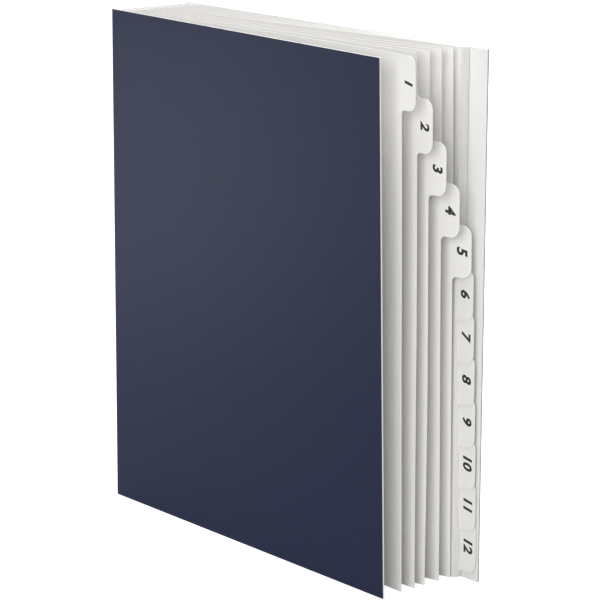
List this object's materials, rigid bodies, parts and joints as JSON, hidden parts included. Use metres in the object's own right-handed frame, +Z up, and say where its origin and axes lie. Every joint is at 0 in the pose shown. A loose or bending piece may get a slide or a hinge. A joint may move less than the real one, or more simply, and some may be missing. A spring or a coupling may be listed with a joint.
{
  "type": "desk file sorter",
  "caption": "Upright desk file sorter: linen-faced board covers, side-tabbed card dividers numbered in order, and a pleated paper spine, open at top, foot and fore edge.",
  "frame": {"origin": "on the surface it stands on, under the centre of the bounding box", "axes": "+Z up, +X from the spine to the fore edge with the tabs, +Y from the front cover to the back cover"},
  "size_m": [0.2648, 0.069, 0.3048],
  "materials": {
    "navy_linen_paper": "matte, fine linen grain",
    "pale_board": "matte",
    "divider_card": "matte, smooth",
    "pleat_paper": "matte"
  },
  "bodies": {
    "block": {"accordion_spine": "pleat_paper", "divider_01": "divider_card", "divider_02": "divider_card", "divider_03": "divider_card", "divider_04": "divider_card", "divider_05": "divider_card", "divider_06": "divider_card", "divider_07": "divider_card", "divider_08": "divider_card", "divider_09": "divider_card", "divider_10": "divider_card", "divider_11": "divider_card", "divider_12": "divider_card"},
    "front_cover": {"front_board": "pale_board", "front_facing": "navy_linen_paper"},
    "back_cover": {"back_board": "pale_board", "back_facing": "navy_linen_paper"}
  },
  "joints": [
    {"name": "front_cover_hinge", "type": "hinge", "parent": "block", "child": "front_cover", "pos_m": [-0.13243, -0.02975, 0], "axis": [0, 0, -1], "range_deg": [-2, 180]},
    {"name": "back_cover_hinge", "type": "hinge", "parent": "block", "child": "back_cover", "pos_m": [-0.13243, 0.02455, 0], "axis": [0, 0, 1], "range_deg": [0, 180]}
  ]
}
